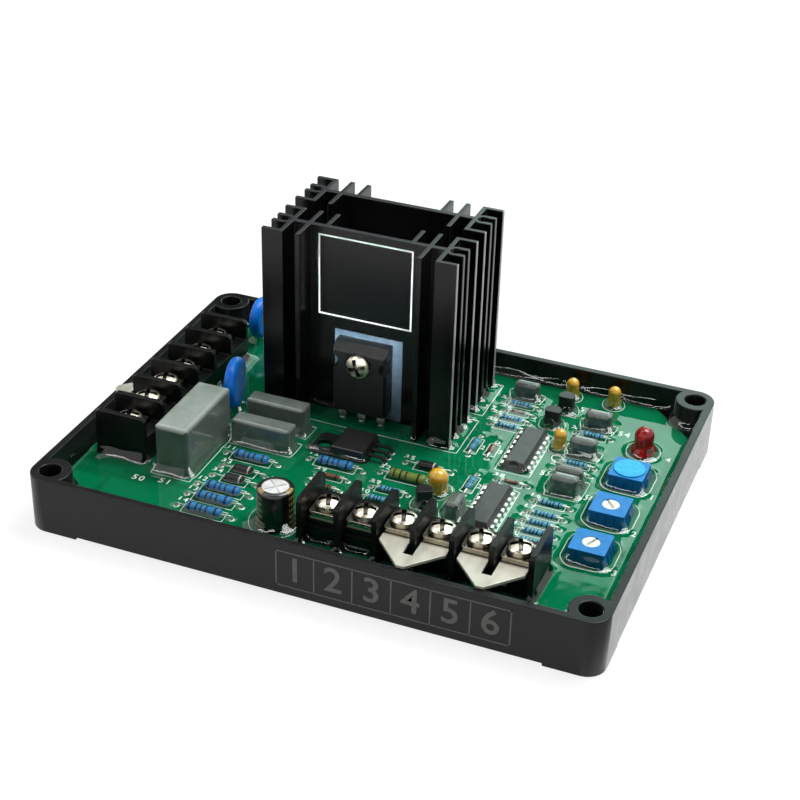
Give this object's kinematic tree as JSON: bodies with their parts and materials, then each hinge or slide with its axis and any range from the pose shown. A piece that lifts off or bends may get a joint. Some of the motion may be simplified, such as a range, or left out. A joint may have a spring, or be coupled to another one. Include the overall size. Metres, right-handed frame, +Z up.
{
  "type": "automatic voltage regulator",
  "caption": "Generator voltage regulator: a potted circuit board in a black tray, with upright heat sinks, screw terminal blocks, link plates and trimmers.",
  "frame": {"origin": "centre of the tray's underside, on the plane of its feet", "axes": "+X along the long front wall to the right, +Y to the back, +Z up out of the tray"},
  "size_m": [0.1466, 0.1076, 0.0612],
  "materials": {
    "tray_plastic": "moulded black, satin",
    "potting_resin": "cast, glossy",
    "board_laminate": "green solder mask",
    "block_plastic": "moulded black, satin",
    "tinned_metal": "tin plated",
    "nickel_steel": "nickel plated",
    "black_aluminium": "black anodised extrusion",
    "pad_rubber": "thin filled silicone",
    "black_epoxy": "moulded",
    "grey_box": "moulded, satin",
    "blue_coating": "dipped",
    "yellow_coating": "dipped",
    "dark_sleeve": "shrunk film",
    "bare_aluminium": "bare",
    "grey_epoxy": "moulded",
    "blue_plastic": "moulded",
    "cyan_seal": "thin film",
    "white_plastic": "moulded",
    "red_lens": "clear tinted",
    "blue_lacquer": "lacquered",
    "olive_lacquer": "lacquered",
    "amber_glass": "sealed tube"
  },
  "bodies": {
    "regulator": {"tray": "tray_plastic", "potting_resin": "potting_resin", "circuit_board": "board_laminate", "front_terminal_block": "block_plastic", "left_terminal_block": "block_plastic", "terminal_contacts": "tinned_metal", "clamp_washers": "nickel_steel", "terminal_screws": "nickel_steel", "link_plates": "tinned_metal", "front_heat_sink": "black_aluminium", "rear_heat_sink": "black_aluminium", "heat_sink_pins": "tinned_metal", "insulating_pads": "pad_rubber", "power_transistors": "black_epoxy", "power_transistor_leads": "tinned_metal", "transistor_screws": "nickel_steel", "flat_transistor_body": "black_epoxy", "flat_transistor_tab": "tinned_metal", "large_film_capacitor": "grey_box", "medium_film_capacitors": "grey_box", "small_film_capacitors": "grey_box", "disc_varistors": "blue_coating", "drop_capacitors": "yellow_coating", "electrolytic_sleeve": "dark_sleeve", "electrolytic_can": "bare_aluminium", "small_transistors": "black_epoxy", "integrated_circuits": "grey_epoxy", "integrated_circuit_pins": "tinned_metal", "trimmer_housings": "blue_plastic", "trimmer_seal": "cyan_seal", "sealed_rotor": "white_plastic", "led_lens": "red_lens", "power_resistors": "blue_lacquer", "signal_resistors": "blue_lacquer", "axial_choke": "olive_lacquer", "rectifier_diodes": "black_epoxy", "glass_diodes": "amber_glass", "axial_leads": "tinned_metal", "radial_leads": "tinned_metal"},
    "middle_trimmer": {"middle_rotor": "white_plastic"},
    "front_trimmer": {"front_rotor": "white_plastic"}
  },
  "joints": [
    {"name": "middle_trimmer_turn", "type": "hinge", "parent": "regulator", "child": "middle_trimmer", "pos_m": [0.06025, -0.0035, 0.0125], "axis": [0, 0, 1], "range_deg": [-130, 130]},
    {"name": "front_trimmer_turn", "type": "hinge", "parent": "regulator", "child": "front_trimmer", "pos_m": [0.06025, -0.0205, 0.0125], "axis": [0, 0, 1], "range_deg": [-130, 130]}
  ]
}
